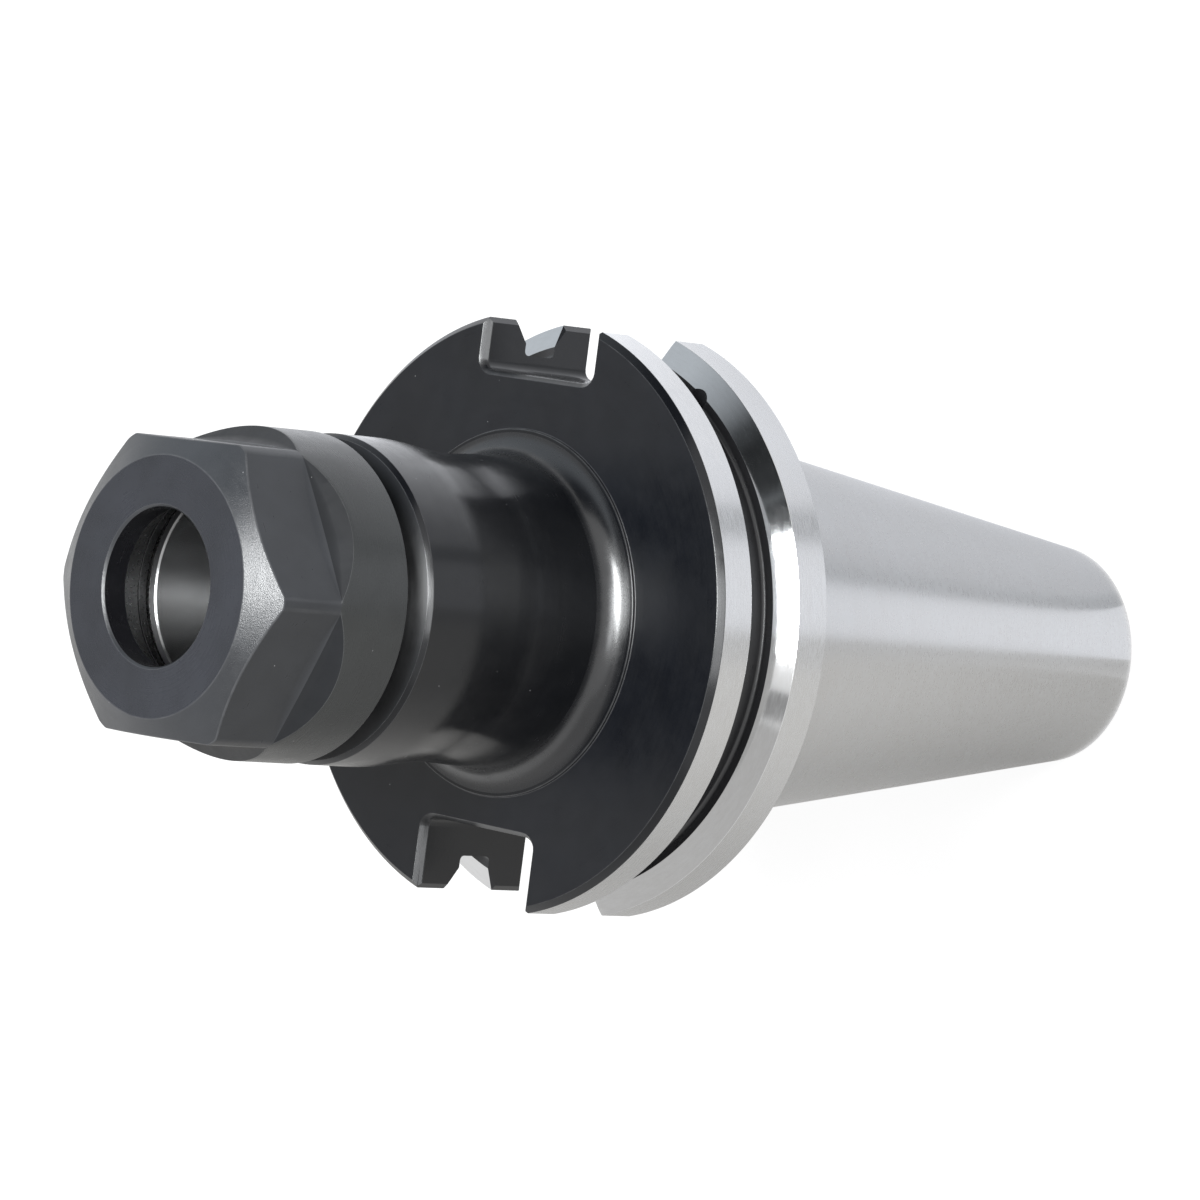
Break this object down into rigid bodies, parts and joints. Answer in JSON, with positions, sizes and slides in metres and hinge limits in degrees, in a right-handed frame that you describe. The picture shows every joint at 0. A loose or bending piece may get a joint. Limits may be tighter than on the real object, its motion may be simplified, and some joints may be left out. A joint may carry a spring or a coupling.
{
  "type": "collet chuck holder",
  "caption": "Steep-taper collet chuck holder: ground taper shank, grooved flange with two drive slots, nose with a conical collet socket and a hexagonal clamping nut.",
  "frame": {"origin": "centre of the taper's small end, which is the face that the holder stands on", "axes": "+Z along the spindle axis from the small end to the nut, +X towards the middle of the shallow drive slot"},
  "size_m": [0.0612, 0.0636, 0.1359],
  "materials": {
    "ground_steel": "fine ground, satin",
    "black_oxide_steel": "black oxide, oiled satin"
  },
  "bodies": {
    "holder": {"holder_body": "ground_steel"},
    "nut": {"clamping_nut": "black_oxide_steel"}
  },
  "joints": [
    {"name": "nut_turn", "type": "hinge", "parent": "holder", "child": "nut", "pos_m": [0, 0, 0.1272], "axis": [0, 0, 1], "range_deg": [-190, 2110]}
  ]
}
